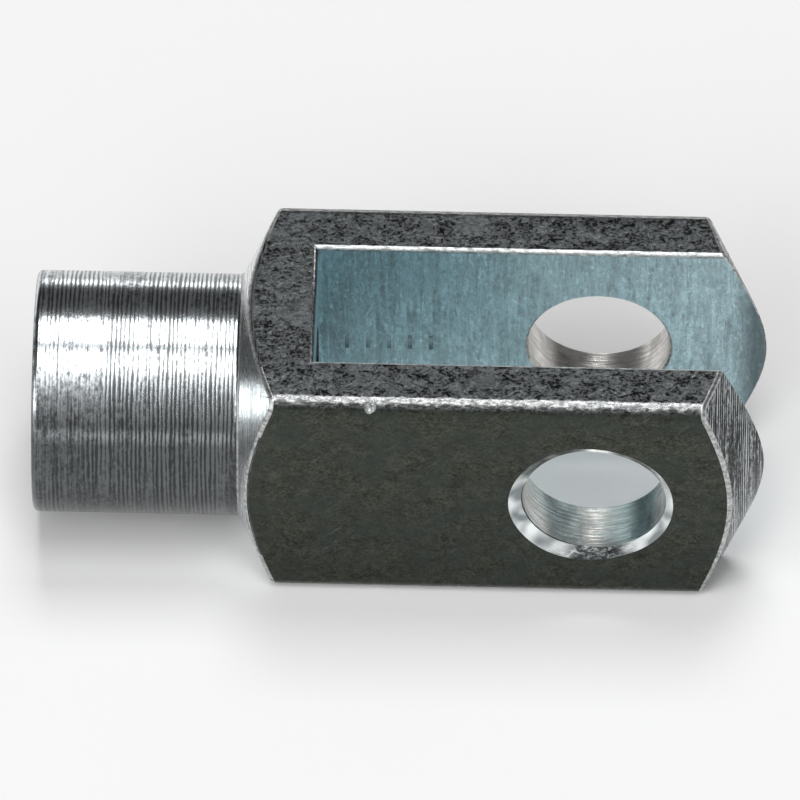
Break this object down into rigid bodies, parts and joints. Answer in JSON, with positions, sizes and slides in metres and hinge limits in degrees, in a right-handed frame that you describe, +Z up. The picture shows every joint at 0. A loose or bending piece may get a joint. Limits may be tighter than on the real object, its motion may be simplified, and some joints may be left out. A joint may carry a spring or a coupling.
{
  "type": "clevis rod end",
  "caption": "Clevis rod end machined from square bar: round tapped neck, forked body with a plain slot, and a cross bore for a pin.",
  "frame": {"origin": "where the pin's axis crosses the rod's axis, in the middle of the fork slot", "axes": "+X along the rod towards the open end of the fork, +Y along the pin, +Z up out of the slot"},
  "size_m": [0.052, 0.0196, 0.0196],
  "materials": {
    "zinc_plated_steel": "satin clear zinc plate over turned and milled steel"
  },
  "bodies": {
    "root": {"clevis_body": "zinc_plated_steel"}
  },
  "joints": []
}
